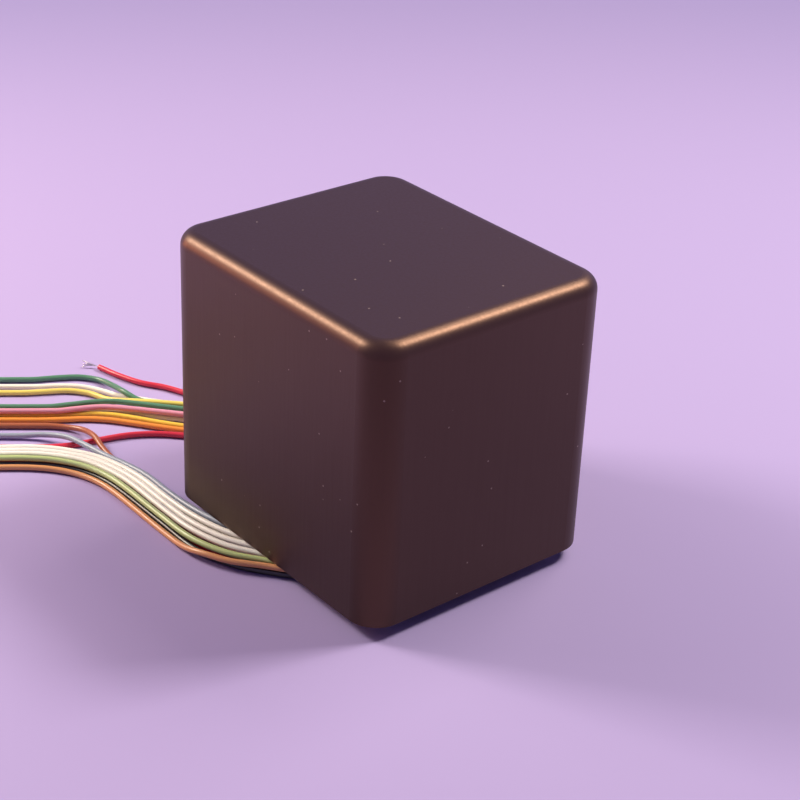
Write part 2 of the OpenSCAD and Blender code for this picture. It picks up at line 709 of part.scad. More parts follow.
module potting() {
    color(epoxy)
        difference() {
            drawn_form(can_wall, plate_top_z);
            core_block(-core_w / 2, core_w, plate_top_z, window_z - plate_top_z);
            core_block(-core_w / 2, core_w, window_z + window_h, lam_unit);
            core_block(-core_w / 2, lam_unit, window_z, window_h);
            core_block(core_w / 2 - lam_unit, lam_unit, window_z, window_h);
            round_block(
                tube_in_w + 2 * flange_out, tube_in_d + 2 * flange_out, flange_out, bobbin_z, bobbin_t
            );
            round_block(
                tube_in_w + 2 * wrap_out, tube_in_d + 2 * wrap_out, wrap_out, winding_z, winding_h
            );
            round_block(
                tube_in_w + 2 * flange_out, tube_in_d + 2 * flange_out, flange_out,
                winding_z + winding_h, bobbin_t
            );
            at_bolts([bolt_low_z, bolt_high_z]) {
                cylinder(h = stack_t + 2 * washer_t, d = washer_d, center = true);
                translate([0, 0, stack_t / 2 + washer_t])
                    cylinder(h = bolt_head_h, d = bolt_head_d);
                translate([0, 0, -stack_t / 2 - washer_t - nut_h])
                    cylinder(h = nut_h, d = nut_af / cos(30), $fn = 6);
                translate([0, 0, -stack_t / 2 - washer_t - nut_h - bolt_stick_out])
                    cylinder(h = bolt_stick_out, d = bolt_d);
            }
            at_bushes()
                translate([0, 0, plate_top_z - cut])
                    cylinder(h = swage_h + cut, d = swage_d);
            for (s = [-1, 1])
                translate([-s * grommet_x, s * grommet_y, 0])
                    grommet_block(
                        grommet_wall + grommet_lap, plate_top_z - cut, grommet_flange_t + cut
                    );
            tails();
        }
}

module tinned_ends() {
    color(tin)
        for (p = all_routes)
            tinned_end(p);
}

module lead_f_grey() {
    color(grey_pvc)
        lead(lead_f_grey_route);
}

module lead_f_white_1() {
    color(white_pvc)
        lead(lead_f_white_1_route);
}

module lead_f_white_2() {
    color(white_pvc)
        lead(lead_f_white_2_route);
}

module lead_f_white_3() {
    color(white_pvc)
        lead(lead_f_white_3_route);
}

module lead_f_lime() {
    color(lime_pvc)
        lead(lead_f_lime_route);
}

module lead_f_tan() {
    color(tan_pvc)
        lead(lead_f_tan_route);
}

module lead_f_copper() {
    color(copper_pvc)
        lead(lead_f_copper_route);
}

module lead_f_white_4() {
    color(white_pvc)
        lead(lead_f_white_4_route);
}

module lead_f_cream() {
    color(cream_pvc)
        lead(lead_f_cream_route);
}

module lead_f_brown() {
    color(brown_pvc)
        lead(lead_f_brown_route);
}

module lead_f_red() {
    color(red_pvc)
        lead(lead_f_red_route);
}

module lead_f_black() {
    color(black_pvc)
        lead(lead_f_black_route);
}

module lead_r_red_short() {
    color(red_pvc)
        lead(lead_r_red_short_route);
}

module lead_r_yellow() {
    color(yellow_pvc)
        lead(lead_r_yellow_route);
}

module lead_r_green_1() {
    color(green_pvc)
        lead(lead_r_green_1_route);
}

module lead_r_pink() {
    color(pink_pvc)
        lead(lead_r_pink_route);
}

module lead_r_red() {
    color(red_pvc)
        lead(lead_r_red_route);
}

module lead_r_white() {
    color(white_pvc)
        lead(lead_r_white_route);
}

module lead_r_green_2() {
    color(green_pvc)
        lead(lead_r_green_2_route);
}

module lead_r_cream() {
    color(cream_pvc)
        lead(lead_r_cream_route);
}

module lead_r_gold() {
    color(gold_pvc)
        lead(lead_r_gold_route);
}

module lead_r_orange() {
    color(orange_pvc)
        lead(lead_r_orange_route);
}

can();
base_plate();
mounting_bushes();
front_grommet();
rear_grommet();
core_pad();
core_e_stack();
core_i_stack();
gap_paper();
core_bolts();
bolt_washers();
core_nuts();
bobbin();
primary_winding();
inner_insulation();
screen_foil();
outer_insulation();
secondary_winding();
coil_wrap();
lead_tails();
potting();
tinned_ends();
lead_f_grey();
lead_f_white_1();
lead_f_white_2();
lead_f_white_3();
lead_f_lime();
lead_f_tan();
lead_f_copper();
lead_f_white_4();
lead_f_cream();
lead_f_brown();
lead_f_red();
lead_f_black();
lead_r_red_short();
lead_r_yellow();
lead_r_green_1();
lead_r_pink();
lead_r_red();
lead_r_white();
lead_r_green_2();
lead_r_cream();
lead_r_gold();
lead_r_orange();
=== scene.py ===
# Dresses the potted transformer: its drawn can, its base, the grommets and the flying leads.
# Metres and +Z up. The origin is on the surface that it stands on, under the middle of the can.
import math

import bmesh
import bpy
from mathutils import Matrix, Vector


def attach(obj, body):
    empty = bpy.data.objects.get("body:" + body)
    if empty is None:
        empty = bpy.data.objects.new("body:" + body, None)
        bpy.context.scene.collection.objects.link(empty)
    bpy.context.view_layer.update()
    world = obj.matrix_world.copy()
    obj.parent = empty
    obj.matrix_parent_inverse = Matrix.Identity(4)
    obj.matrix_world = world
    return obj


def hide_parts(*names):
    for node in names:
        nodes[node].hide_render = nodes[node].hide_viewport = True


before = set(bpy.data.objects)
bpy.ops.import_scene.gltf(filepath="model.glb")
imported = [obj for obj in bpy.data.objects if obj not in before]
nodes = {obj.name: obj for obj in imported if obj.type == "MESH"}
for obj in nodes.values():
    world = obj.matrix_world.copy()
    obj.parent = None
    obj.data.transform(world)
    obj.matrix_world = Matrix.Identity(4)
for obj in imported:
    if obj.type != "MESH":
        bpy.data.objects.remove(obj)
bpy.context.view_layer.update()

# Camera: where it stands around the can, what it looks at, and its lens
AZIMUTH = math.radians(49.65)
ELEVATION = math.radians(28.3)
ROLL = math.radians(2.46)
DISTANCE = 0.3873
AIM = Vector((0.0035, 0.0022, 0.031))
LENS_MM = 85.6

# Leads: the tube of insulation, the bare strands at its end, their length,
# and how far these reach into the tube
LEAD_D = 0.0013
STRAND_R = 0.0001
STRIPPED_L = 0.006
STRIP_DEPTH = 0.0005

# Heights of a lead's middle: inside the grommet, on the surface, and on other leads
GROMMET_TOP = 0.009
GROMMET_EXIT = 0.0055
LOW = 0.0007
TOUCH = 0.0008
MID = 0.0014
HIGH = 0.0021

# How a lead drops from its grommet: distance along its heading, and height
HIGH_DROP = [
    (0, GROMMET_TOP), (0, GROMMET_EXIT), (0.0005, HIGH + 0.0018), (0.00175, HIGH + 0.0005),
    (0.0035, HIGH),
]
LOW_DROP = [
    (0, GROMMET_TOP), (0, GROMMET_EXIT), (0.00055, LOW + 0.0021), (0.0021, LOW + 0.0006),
    (0.0042, TOUCH),
]

# Backdrop: its colour, how bright it is seen, and how much light it gives
BACKDROP = "#cab7f2"
BACKDROP_SEEN = 0.74
BACKDROP_LIGHT = 0.16

# The middle of the can, at which the lamps look
MIDDLE = Vector((0, 0, 0.03))

# Places of a Mix node's two colours among its inputs, and of their mix among its outputs
FIRST, SECOND, MIXED = 6, 7, 2


def front_place(column, row):
    """Where a lead of the front grommet starts: its column counts along X, its row along Y."""
    return (0.005 + column * 0.0016, -0.016 + row * 0.002)


def rear_place(column, row):
    """Where a lead of the rear grommet starts."""
    return (-0.005 + column * 0.0016, 0.016 + row * 0.002)


# Each lead: its insulation, its place in the grommet, its heading in degrees, its drop and its run
LEADS = {
    "lead_f_grey": ("grey_pvc", front_place(-2.5, -0.5), -125, HIGH_DROP, [
        (-0.004, -0.0224, HIGH), (-0.009, -0.0252, HIGH), (-0.018, -0.0282, HIGH),
        (-0.026, -0.0296, HIGH), (-0.034, -0.03, HIGH), (-0.042, -0.03, HIGH),
        (-0.049, -0.0311, HIGH), (-0.055, -0.0327, HIGH), (-0.061, -0.0338, HIGH),
        (-0.067, -0.0354, HIGH), (-0.072, -0.0384, MID), (-0.076, -0.043, TOUCH),
        (-0.107, -0.0865, LOW),
    ]),
    "lead_f_white_1": ("white_pvc", front_place(-1.5, -0.5), -118, HIGH_DROP, [
        (-0.0019, -0.0233, HIGH), (-0.007, -0.0262, HIGH), (-0.015, -0.0294, HIGH),
        (-0.024, -0.0311, HIGH), (-0.033, -0.0315, HIGH), (-0.042, -0.0315, HIGH),
        (-0.0493, -0.0326, HIGH), (-0.0562, -0.0349, HIGH), (-0.0625, -0.039, HIGH),
        (-0.0675, -0.044, HIGH), (-0.0725, -0.0514, HIGH), (-0.102, -0.0925, HIGH),
    ]),
    "lead_f_white_2": ("white_pvc", front_place(-0.5, -0.5), -112, HIGH_DROP, [
        (0.0003, -0.024, HIGH), (-0.005, -0.0272, HIGH), (-0.012, -0.0307, HIGH),
        (-0.021, -0.0327, HIGH), (-0.031, -0.033, HIGH), (-0.042, -0.033, HIGH),
        (-0.0489, -0.034, HIGH), (-0.0556, -0.0362, HIGH), (-0.0616, -0.0402, HIGH),
        (-0.0664, -0.0451, HIGH), (-0.0714, -0.0524, HIGH), (-0.1, -0.0925, HIGH),
    ]),
    "lead_f_white_3": ("white_pvc", front_place(0.5, -0.5), -107, HIGH_DROP, [
        (0.0023, -0.0246, HIGH), (-0.003, -0.0283, HIGH), (-0.0095, -0.032, HIGH),
        (-0.019, -0.0343, HIGH), (-0.03, -0.0346, HIGH), (-0.042, -0.0346, HIGH),
        (-0.0486, -0.0355, HIGH), (-0.055, -0.0375, HIGH), (-0.0607, -0.0413, HIGH),
        (-0.0653, -0.046, HIGH), (-0.0703, -0.0532, HIGH), (-0.0975, -0.0915, HIGH),
    ]),
    "lead_f_lime": ("lime_pvc", front_place(1.5, -0.5), -103, HIGH_DROP, [
        (0.0042, -0.0252, HIGH), (-0.001, -0.0294, HIGH), (-0.0072, -0.0335, HIGH),
        (-0.016, -0.0362, HIGH), (-0.028, -0.0365, HIGH), (-0.042, -0.0365, HIGH),
        (-0.0483, -0.0372, HIGH), (-0.0541, -0.0391, HIGH), (-0.0595, -0.0426, HIGH),
        (-0.0638, -0.0471, HIGH), (-0.0688, -0.0542, HIGH), (-0.0955, -0.092, HIGH),
    ]),
    "lead_f_tan": ("tan_pvc", front_place(2.5, -0.5), -99, HIGH_DROP, [
        (0.0061, -0.026, HIGH), (0.001, -0.0304, HIGH), (-0.004, -0.0346, HIGH),
        (-0.0095, -0.0374, HIGH), (-0.014, -0.0384, MID), (-0.019, -0.0384, TOUCH),
        (-0.03, -0.0383, LOW), (-0.042, -0.0382, LOW), (-0.048, -0.0388, LOW),
        (-0.0535, -0.0406, LOW), (-0.0585, -0.0439, LOW), (-0.0625, -0.0481, LOW),
        (-0.0675, -0.0552, LOW), (-0.093, -0.0915, LOW),
    ]),
    "lead_f_copper": ("copper_pvc", front_place(-2.5, 0.5), -122, LOW_DROP, [
        (-0.0044, -0.022, LOW), (-0.0095, -0.0248, LOW), (-0.017, -0.0276, LOW),
        (-0.025, -0.0294, LOW), (-0.033, -0.0298, LOW), (-0.042, -0.0298, LOW),
        (-0.049, -0.0304, LOW), (-0.0545, -0.031, TOUCH), (-0.0595, -0.0308, MID),
        (-0.064, -0.0302, HIGH), (-0.069, -0.0302, MID), (-0.073, -0.032, TOUCH),
        (-0.0765, -0.0355, LOW), (-0.1065, -0.078, LOW),
    ]),
    "lead_f_white_4": ("white_pvc", front_place(-1.5, 0.5), -116, LOW_DROP, [
        (-0.002, -0.0227, LOW), (-0.0068, -0.0257, LOW), (-0.0135, -0.0286, LOW),
        (-0.021, -0.0306, LOW), (-0.031, -0.0312, LOW), (-0.042, -0.0312, LOW),
        (-0.0494, -0.0319, LOW), (-0.0565, -0.0342, LOW), (-0.063, -0.0384, LOW),
        (-0.068, -0.0436, LOW), (-0.073, -0.051, LOW), (-0.1005, -0.0895, LOW),
    ]),
    "lead_f_cream": ("cream_pvc", front_place(-0.5, 0.5), -111, LOW_DROP, [
        (0.0002, -0.0234, LOW), (-0.0044, -0.0266, LOW), (-0.011, -0.0298, LOW),
        (-0.0195, -0.0321, LOW), (-0.03, -0.0326, LOW), (-0.042, -0.0326, LOW),
        (-0.0491, -0.0333, LOW), (-0.0559, -0.0355, LOW), (-0.0621, -0.0395, LOW),
        (-0.0669, -0.0446, LOW), (-0.0719, -0.0519, LOW), (-0.0985, -0.0895, LOW),
    ]),
    "lead_f_brown": ("brown_pvc", front_place(0.5, 0.5), -106, LOW_DROP, [
        (0.0023, -0.024, LOW), (-0.0022, -0.0276, LOW), (-0.0085, -0.0312, LOW),
        (-0.0175, -0.0336, LOW), (-0.029, -0.034, LOW), (-0.042, -0.034, LOW),
        (-0.0488, -0.0347, LOW), (-0.0553, -0.0368, LOW), (-0.0612, -0.0406, LOW),
        (-0.0658, -0.0455, LOW), (-0.0708, -0.0527, LOW), (-0.0965, -0.089, LOW),
    ]),
    "lead_f_red": ("red_pvc", front_place(1.5, 0.5), -102, LOW_DROP, [
        (0.0044, -0.0247, LOW), (0, -0.0285, LOW), (-0.006, -0.0324, LOW), (-0.015, -0.0351, LOW),
        (-0.027, -0.0354, LOW), (-0.042, -0.0354, LOW), (-0.0486, -0.036, LOW),
        (-0.0547, -0.0381, LOW), (-0.0603, -0.0417, LOW), (-0.0647, -0.0463, LOW),
        (-0.0697, -0.0535, LOW), (-0.0945, -0.0885, LOW),
    ]),
    "lead_f_black": ("black_pvc", front_place(2.5, 0.5), -98, LOW_DROP, [
        (0.0064, -0.0254, LOW), (0.0022, -0.0293, LOW), (-0.0038, -0.0334, LOW),
        (-0.013, -0.0366, LOW), (-0.026, -0.0368, LOW), (-0.042, -0.0368, LOW),
        (-0.0483, -0.0374, LOW), (-0.0541, -0.0393, LOW), (-0.0594, -0.0428, LOW),
        (-0.0636, -0.0472, LOW), (-0.0686, -0.0544, LOW), (-0.0925, -0.088, LOW),
    ]),
    "lead_r_red_short": ("red_pvc", rear_place(-2, -0.5), -170, HIGH_DROP, [
        (-0.016, 0.013, HIGH), (-0.025, 0.0126, HIGH), (-0.034, 0.0124, HIGH),
        (-0.042, 0.0112, MID), (-0.049, 0.009, TOUCH), (-0.057, 0.0055, LOW),
        (-0.065, 0.0018, LOW), (-0.071, -0.0006, LOW), (-0.077, -0.0033, LOW),
        (-0.082, -0.0066, LOW), (-0.0885, -0.009, LOW), (-0.0945, -0.0104, LOW),
    ]),
    "lead_r_yellow": ("yellow_pvc", rear_place(-1, -0.5), -148, HIGH_DROP, [
        (-0.014, 0.0115, HIGH), (-0.024, 0.011, HIGH), (-0.034, 0.0106, HIGH),
        (-0.044, 0.008, HIGH), (-0.054, 0.003, HIGH), (-0.0627, -0.0037, HIGH),
        (-0.0689, -0.0098, HIGH), (-0.0739, -0.0143, MID + 0.0003), (-0.079, -0.0173, TOUCH),
        (-0.0845, -0.0194, LOW), (-0.0882, -0.0226, LOW), (-0.0908, -0.027, LOW),
        (-0.0936, -0.032, LOW), (-0.1135, -0.06, LOW),
    ]),
    "lead_r_green_1": ("green_pvc", rear_place(0, -0.5), -140, HIGH_DROP, [
        (-0.012, 0.01, HIGH), (-0.023, 0.0093, HIGH), (-0.034, 0.0088, HIGH),
        (-0.044, 0.006, HIGH), (-0.054, 0.0005, HIGH), (-0.061, -0.0052, HIGH),
        (-0.067, -0.0105, HIGH), (-0.0715, -0.0144, HIGH), (-0.0755, -0.0182, HIGH),
        (-0.078, -0.0225, HIGH), (-0.0798, -0.027, HIGH), (-0.082, -0.032, HIGH),
        (-0.1065, -0.066, HIGH),
    ]),
    "lead_r_pink": ("pink_pvc", rear_place(1, -0.5), -132, HIGH_DROP, [
        (-0.0097, 0.0086, HIGH), (-0.022, 0.0076, HIGH), (-0.034, 0.007, HIGH),
        (-0.044, 0.0035, HIGH), (-0.053, -0.002, HIGH), (-0.061, -0.0085, HIGH),
        (-0.0665, -0.0135, HIGH), (-0.071, -0.0177, HIGH), (-0.0748, -0.022, HIGH),
        (-0.077, -0.0265, HIGH), (-0.0792, -0.0315, HIGH), (-0.1045, -0.067, HIGH),
    ]),
    "lead_r_red": ("red_pvc", rear_place(2, -0.5), -127, HIGH_DROP, [
        (-0.0076, 0.0074, HIGH), (-0.021, 0.0058, HIGH), (-0.033, 0.0052, HIGH),
        (-0.039, 0.0024, HIGH), (-0.0435, -0.0018, MID), (-0.0485, -0.0068, TOUCH),
        (-0.0538, -0.0116, LOW), (-0.0584, -0.0164, LOW), (-0.0618, -0.022, LOW),
        (-0.0637, -0.0282, LOW), (-0.0652, -0.0345, LOW), (-0.0678, -0.04, LOW),
        (-0.093, -0.0755, LOW),
    ]),
    "lead_r_white": ("white_pvc", rear_place(-2, 0.5), -154, LOW_DROP, [
        (-0.017, 0.0128, LOW), (-0.024, 0.012, LOW), (-0.034, 0.0115, LOW), (-0.044, 0.009, LOW),
        (-0.054, 0.004, LOW), (-0.063, -0.002, LOW), (-0.07, -0.0074, LOW),
        (-0.0755, -0.0116, LOW), (-0.0793, -0.0144, LOW), (-0.084, -0.0165, LOW),
        (-0.0882, -0.0192, LOW), (-0.0915, -0.0232, LOW), (-0.0946, -0.0284, LOW),
        (-0.116, -0.058, LOW),
    ]),
    "lead_r_green_2": ("green_pvc", rear_place(-1, 0.5), -144, LOW_DROP, [
        (-0.0145, 0.0112, LOW), (-0.023, 0.0105, LOW), (-0.034, 0.01, LOW), (-0.044, 0.0074, LOW),
        (-0.054, 0.0023, LOW), (-0.063, -0.0038, LOW), (-0.0695, -0.009, TOUCH),
        (-0.074, -0.0123, MID), (-0.0784, -0.0136, HIGH), (-0.0834, -0.0134, MID),
        (-0.0886, -0.014, TOUCH), (-0.0926, -0.0168, LOW), (-0.0954, -0.0214, LOW),
        (-0.0982, -0.027, LOW), (-0.1155, -0.0515, LOW),
    ]),
    "lead_r_cream": ("cream_pvc", rear_place(0, 0.5), -136, LOW_DROP, [
        (-0.0125, 0.0099, LOW), (-0.022, 0.009, LOW), (-0.034, 0.0085, LOW), (-0.044, 0.0052, LOW),
        (-0.053, -0.0008, LOW), (-0.0605, -0.0078, LOW), (-0.065, -0.0118, LOW),
        (-0.0695, -0.0154, LOW), (-0.0736, -0.0188, LOW), (-0.077, -0.0226, LOW),
        (-0.0796, -0.0266, LOW), (-0.082, -0.031, LOW), (-0.106, -0.065, LOW),
    ]),
    "lead_r_gold": ("gold_pvc", rear_place(1, 0.5), -128, LOW_DROP, [
        (-0.01, 0.0086, LOW), (-0.021, 0.0075, LOW), (-0.034, 0.007, LOW), (-0.0432, 0.003, LOW),
        (-0.051, -0.0032, LOW), (-0.058, -0.0098, LOW), (-0.0626, -0.0134, LOW),
        (-0.0674, -0.0168, LOW), (-0.072, -0.0204, LOW), (-0.0754, -0.0242, LOW),
        (-0.078, -0.0284, LOW), (-0.0806, -0.0328, LOW), (-0.104, -0.0655, LOW),
    ]),
    "lead_r_orange": ("orange_pvc", rear_place(2, 0.5), -122, LOW_DROP, [
        (-0.0078, 0.0075, LOW), (-0.02, 0.006, LOW), (-0.034, 0.0055, LOW), (-0.0422, 0.0012, LOW),
        (-0.0497, -0.0048, LOW), (-0.0568, -0.0112, LOW), (-0.0614, -0.015, LOW),
        (-0.066, -0.0186, LOW), (-0.0704, -0.0222, LOW), (-0.0738, -0.026, LOW),
        (-0.0764, -0.0302, LOW), (-0.0792, -0.0348, LOW), (-0.1015, -0.066, LOW),
    ]),
}


def colour(text):
    """An sRGB hex colour as linear red, green, blue and alpha."""
    parts = [int(text[i:i + 2], 16) / 255 for i in (1, 3, 5)]
    return [p / 12.92 if p <= 0.04045 else ((p + 0.055) / 1.055) ** 2.4 for p in parts] + [1.0]


def add(tree, kind, inputs=(), **settings):
    """Adds a node with its settings, and its inputs as values or as another node's socket."""
    node = tree.nodes.new(kind)
    for name, value in settings.items():
        setattr(node, name, value)
    for name, value in dict(inputs).items():
        if isinstance(value, bpy.types.NodeSocket):
            tree.links.new(value, node.inputs[name])
        else:
            node.inputs[name].default_value = value
    return node


def finish(name, base, **inputs):
    """A new material with one Principled shader; gives the material, its tree and the shader."""
    material = bpy.data.materials.new(name)
    material.use_nodes = True
    tree = material.node_tree
    shader = tree.nodes["Principled BSDF"]
    shader.inputs["Base Color"].default_value = colour(base)
    for key, value in inputs.items():
        shader.inputs[key.replace("_", " ").title().replace("Ior", "IOR")].default_value = value
    return material, tree, shader


def grain(tree, scale, size=(1, 1, 1), detail=2.0):
    """Noise that lies on the piece itself, with so many grains to the metre along each axis."""
    place = add(tree, "ShaderNodeTexCoord")
    spread = add(tree, "ShaderNodeMapping", {"Vector": place.outputs["Object"], "Scale": size})
    return add(tree, "ShaderNodeTexNoise", {
        "Vector": spread.outputs["Vector"], "Scale": scale, "Detail": detail,
    }).outputs["Fac"]


def shade_of(tree, factor, low, high):
    """A value that runs from low to high as the factor runs through its middle part."""
    return add(tree, "ShaderNodeMapRange", {
        "Value": factor, "From Min": 0.3, "From Max": 0.7, "To Min": low, "To Max": high,
    }).outputs["Result"]


# Stoved satin enamel over drawn steel, black with a bronze cast: the sprayed film lies down
# satin, so lamps show on the rounded edges as broad, warm, slightly grainy bands.
def satin_bronze_black_enamel():
    black = "#090608"
    material, tree, shader = finish("satin_bronze_black_enamel", black, roughness=0.4)
    shader.inputs["Specular IOR Level"].default_value = 1.0
    shader.inputs["Specular Tint"].default_value = colour("#ffc3a4")
    # Grain of the film, 0.4 mm, and faint draw marks that run up the sides
    film = grain(tree, 2500)
    marks = grain(tree, 1, (1600, 1600, 50), 3.0)
    both = add(tree, "ShaderNodeMath", {0: marks, 1: 0.35}, operation="MULTIPLY").outputs[0]
    height = add(tree, "ShaderNodeMath", {0: film, 1: both}, operation="ADD").outputs[0]
    bump = add(tree, "ShaderNodeBump", {"Height": height, "Strength": 0.25, "Distance": 0.00003})
    tree.links.new(bump.outputs["Normal"], shader.inputs["Normal"])
    tree.links.new(shade_of(tree, marks, 0.37, 0.43), shader.inputs["Roughness"])
    # Specks of dust, up to 0.4 mm across and about 15 mm apart
    place = add(tree, "ShaderNodeTexCoord").outputs["Object"]
    dust = add(tree, "ShaderNodeTexVoronoi", {"Vector": place, "Scale": 230.0})
    speck = add(tree, "ShaderNodeMath", {
        0: dust.outputs["Distance"], 1: 0.045,
    }, operation="LESS_THAN").outputs[0]
    tone = add(tree, "ShaderNodeMix", {
        "Factor": speck, FIRST: colour(black), SECOND: colour("#7d716a"),
    }, data_type="RGBA").outputs[MIXED]
    tree.links.new(tone, shader.inputs["Base Color"])
    return material


# Zinc plate on cold-rolled or turned steel, clear passivated: a bright, faintly blue satin metal.
def zinc_plated_steel():
    material, tree, shader = finish("zinc_plated_steel", "#c3c6c8", metallic=1.0, roughness=0.36)
    tree.links.new(shade_of(tree, grain(tree, 900), 0.3, 0.44), shader.inputs["Roughness"])
    return material


# Rubber moulded in a matt tool: dark, with a soft, dusty sheen and no clear reflection.
def moulded_black_rubber():
    material, tree, shader = finish("moulded_black_rubber", "#242427", roughness=0.62)
    bump = add(tree, "ShaderNodeBump", {
        "Height": grain(tree, 3000), "Strength": 0.2, "Distance": 0.00002,
    })
    tree.links.new(bump.outputs["Normal"], shader.inputs["Normal"])
    return material


# Plasticised PVC extruded over the strands: an even, glossy colour with a soft highlight that
# runs along the lead, and a slow ripple that the strands press into it.
def extruded_pvc(name, base):
    material, tree, shader = finish("extruded_pvc_" + name, base, roughness=0.3, ior=1.53)
    bump = add(tree, "ShaderNodeBump", {
        "Height": grain(tree, 900), "Strength": 0.15, "Distance": 0.00005,
    })
    tree.links.new(bump.outputs["Normal"], shader.inputs["Normal"])
    return material


# Copper strands dipped in tin: a pale, soft-bright metal.
def tinned_copper():
    return finish("tinned_copper", "#d9d6d0", metallic=1.0, roughness=0.28)[0]


# Silicon steel stamped in 0.5 mm sheets and varnished: grey-blue metal with fine dark lines
# between the sheets. The lines lie 1 mm apart, coarser than real, so that they show.
def varnished_laminations():
    material, tree, shader = finish("varnished_laminations", "#777b80", metallic=1.0)
    shader.inputs["Roughness"].default_value = 0.45
    place = add(tree, "ShaderNodeTexCoord").outputs["Object"]
    sheets = add(tree, "ShaderNodeTexWave", {"Vector": place, "Scale": 314.0},
                 bands_direction="Y", wave_profile="SAW")
    tone = add(tree, "ShaderNodeMix", {
        "Factor": sheets.outputs["Fac"], FIRST: colour("#4c4f54"), SECOND: colour("#8a8e92"),
    }, data_type="RGBA").outputs[MIXED]
    tree.links.new(tone, shader.inputs["Base Color"])
    return material


# Copper wire in red-brown polyurethane enamel, wound in even turns: warm, bright lines of light.
# The turns lie 1 mm apart.
def wound_copper_wire():
    material, tree, shader = finish("wound_copper_wire", "#b5652f", metallic=1.0, roughness=0.3)
    place = add(tree, "ShaderNodeTexCoord").outputs["Object"]
    turns = add(tree, "ShaderNodeTexWave", {"Vector": place, "Scale": 314.0}, bands_direction="Z")
    bump = add(tree, "ShaderNodeBump", {
        "Height": turns.outputs["Fac"], "Strength": 0.6, "Distance": 0.0003,
    })
    tree.links.new(bump.outputs["Normal"], shader.inputs["Normal"])
    return material


def seen_ray(tree):
    """1 for a ray that shows the background to the eye, in a reflection or through glass."""
    ray = add(tree, "ShaderNodeLightPath").outputs
    direct = add(tree, "ShaderNodeMath", {
        0: ray["Is Camera Ray"], 1: ray["Is Glossy Ray"],
    }, operation="MAXIMUM").outputs[0]
    return add(tree, "ShaderNodeMath", {
        0: direct, 1: ray["Is Transmission Ray"],
    }, operation="MAXIMUM").outputs[0]


# Matt lilac paper on a roll: plain and pale, and it runs up into the backdrop without an edge.
def pale_paper_sweep():
    material, tree, shader = finish("pale_paper_sweep", "#b1a2da", roughness=0.9)
    place = add(tree, "ShaderNodeTexCoord").outputs["Object"]
    away = add(tree, "ShaderNodeVectorMath", {0: place}, operation="LENGTH").outputs["Value"]
    rise = add(tree, "ShaderNodeMapRange", {
        "Value": away, "From Min": 0.22, "From Max": 0.75,
    }, interpolation_type="SMOOTHSTEP").outputs["Result"]
    share = add(tree, "ShaderNodeMath", {0: rise, 1: seen_ray(tree)}, operation="MULTIPLY")
    beyond = add(tree, "ShaderNodeEmission", {
        "Color": colour(BACKDROP), "Strength": BACKDROP_SEEN,
    })
    sweep = add(tree, "ShaderNodeMixShader", {
        0: share.outputs[0], 1: shader.outputs[0], 2: beyond.outputs[0],
    })
    tree.links.new(sweep.outputs[0], tree.nodes["Material Output"].inputs["Surface"])
    return material


# Finishes, outside and inside the can
ENAMEL = satin_bronze_black_enamel()
ZINC = zinc_plated_steel()
RUBBER = moulded_black_rubber()
TIN = tinned_copper()
STEEL_SHEETS = varnished_laminations()
WIRE = wound_copper_wire()
# Rolled copper foil: bright and warm
COPPER_FOIL = finish("rolled_copper_foil", "#c9784a", metallic=1.0, roughness=0.22)[0]
# Pressed vulcanised fibre: matt, with the tan of its paper
FIBRE = finish("pressed_fibre", "#b98a5a", roughness=0.7)[0]
# Kraft insulating paper: matt and pale
PAPER = finish("insulating_paper", "#e3dcc4", roughness=0.8)[0]
# Moulded natural nylon: a milky, satin white
NYLON = finish("moulded_natural_nylon", "#e9e4d2", roughness=0.45)[0]
# Polyester film tape: yellow and glossy
TAPE = finish("polyester_film_tape", "#e2c655", roughness=0.25)[0]
# Cast epoxy with mineral filler: dark and satin
RESIN = finish("cast_filled_epoxy", "#3a3431", roughness=0.5)[0]

PVC = {
    "grey_pvc": extruded_pvc("grey", "#98a4b8"),
    "white_pvc": extruded_pvc("white", "#f7f6f2"),
    "lime_pvc": extruded_pvc("lime", "#b9cd8c"),
    "tan_pvc": extruded_pvc("tan", "#d99a68"),
    "copper_pvc": extruded_pvc("copper_brown", "#a8603c"),
    "cream_pvc": extruded_pvc("cream", "#f2e8c0"),
    "brown_pvc": extruded_pvc("brown", "#6b4230"),
    "red_pvc": extruded_pvc("red", "#d63046"),
    "black_pvc": extruded_pvc("black", "#202022"),
    "yellow_pvc": extruded_pvc("yellow", "#f0dc70"),
    "green_pvc": extruded_pvc("green", "#57896c"),
    "pink_pvc": extruded_pvc("pink", "#e39cb6"),
    "gold_pvc": extruded_pvc("gold", "#f2cc4e"),
    "orange_pvc": extruded_pvc("orange", "#ee963c"),
}

SOLID_FINISHES = {
    "can": ENAMEL, "base_plate": ZINC, "mounting_bushes": ZINC, "front_grommet": RUBBER,
    "rear_grommet": RUBBER, "core_pad": FIBRE, "core_e_stack": STEEL_SHEETS,
    "core_i_stack": STEEL_SHEETS, "gap_paper": PAPER, "core_bolts": ZINC, "bolt_washers": FIBRE,
    "core_nuts": ZINC, "bobbin": NYLON, "primary_winding": WIRE, "inner_insulation": TAPE,
    "screen_foil": COPPER_FOIL, "outer_insulation": TAPE, "secondary_winding": WIRE,
    "coil_wrap": TAPE, "lead_tails": PVC["white_pvc"], "potting": RESIN, "tinned_ends": TIN,
}


def lead_points(place, heading, drop, run):
    """The whole route of a lead: its drop from the grommet, then its run along the surface."""
    turn = math.radians(heading)
    fall = [
        Vector((place[0] + far * math.cos(turn), place[1] + far * math.sin(turn), height))
        for far, height in drop
    ]
    return fall + [Vector(point) for point in run]


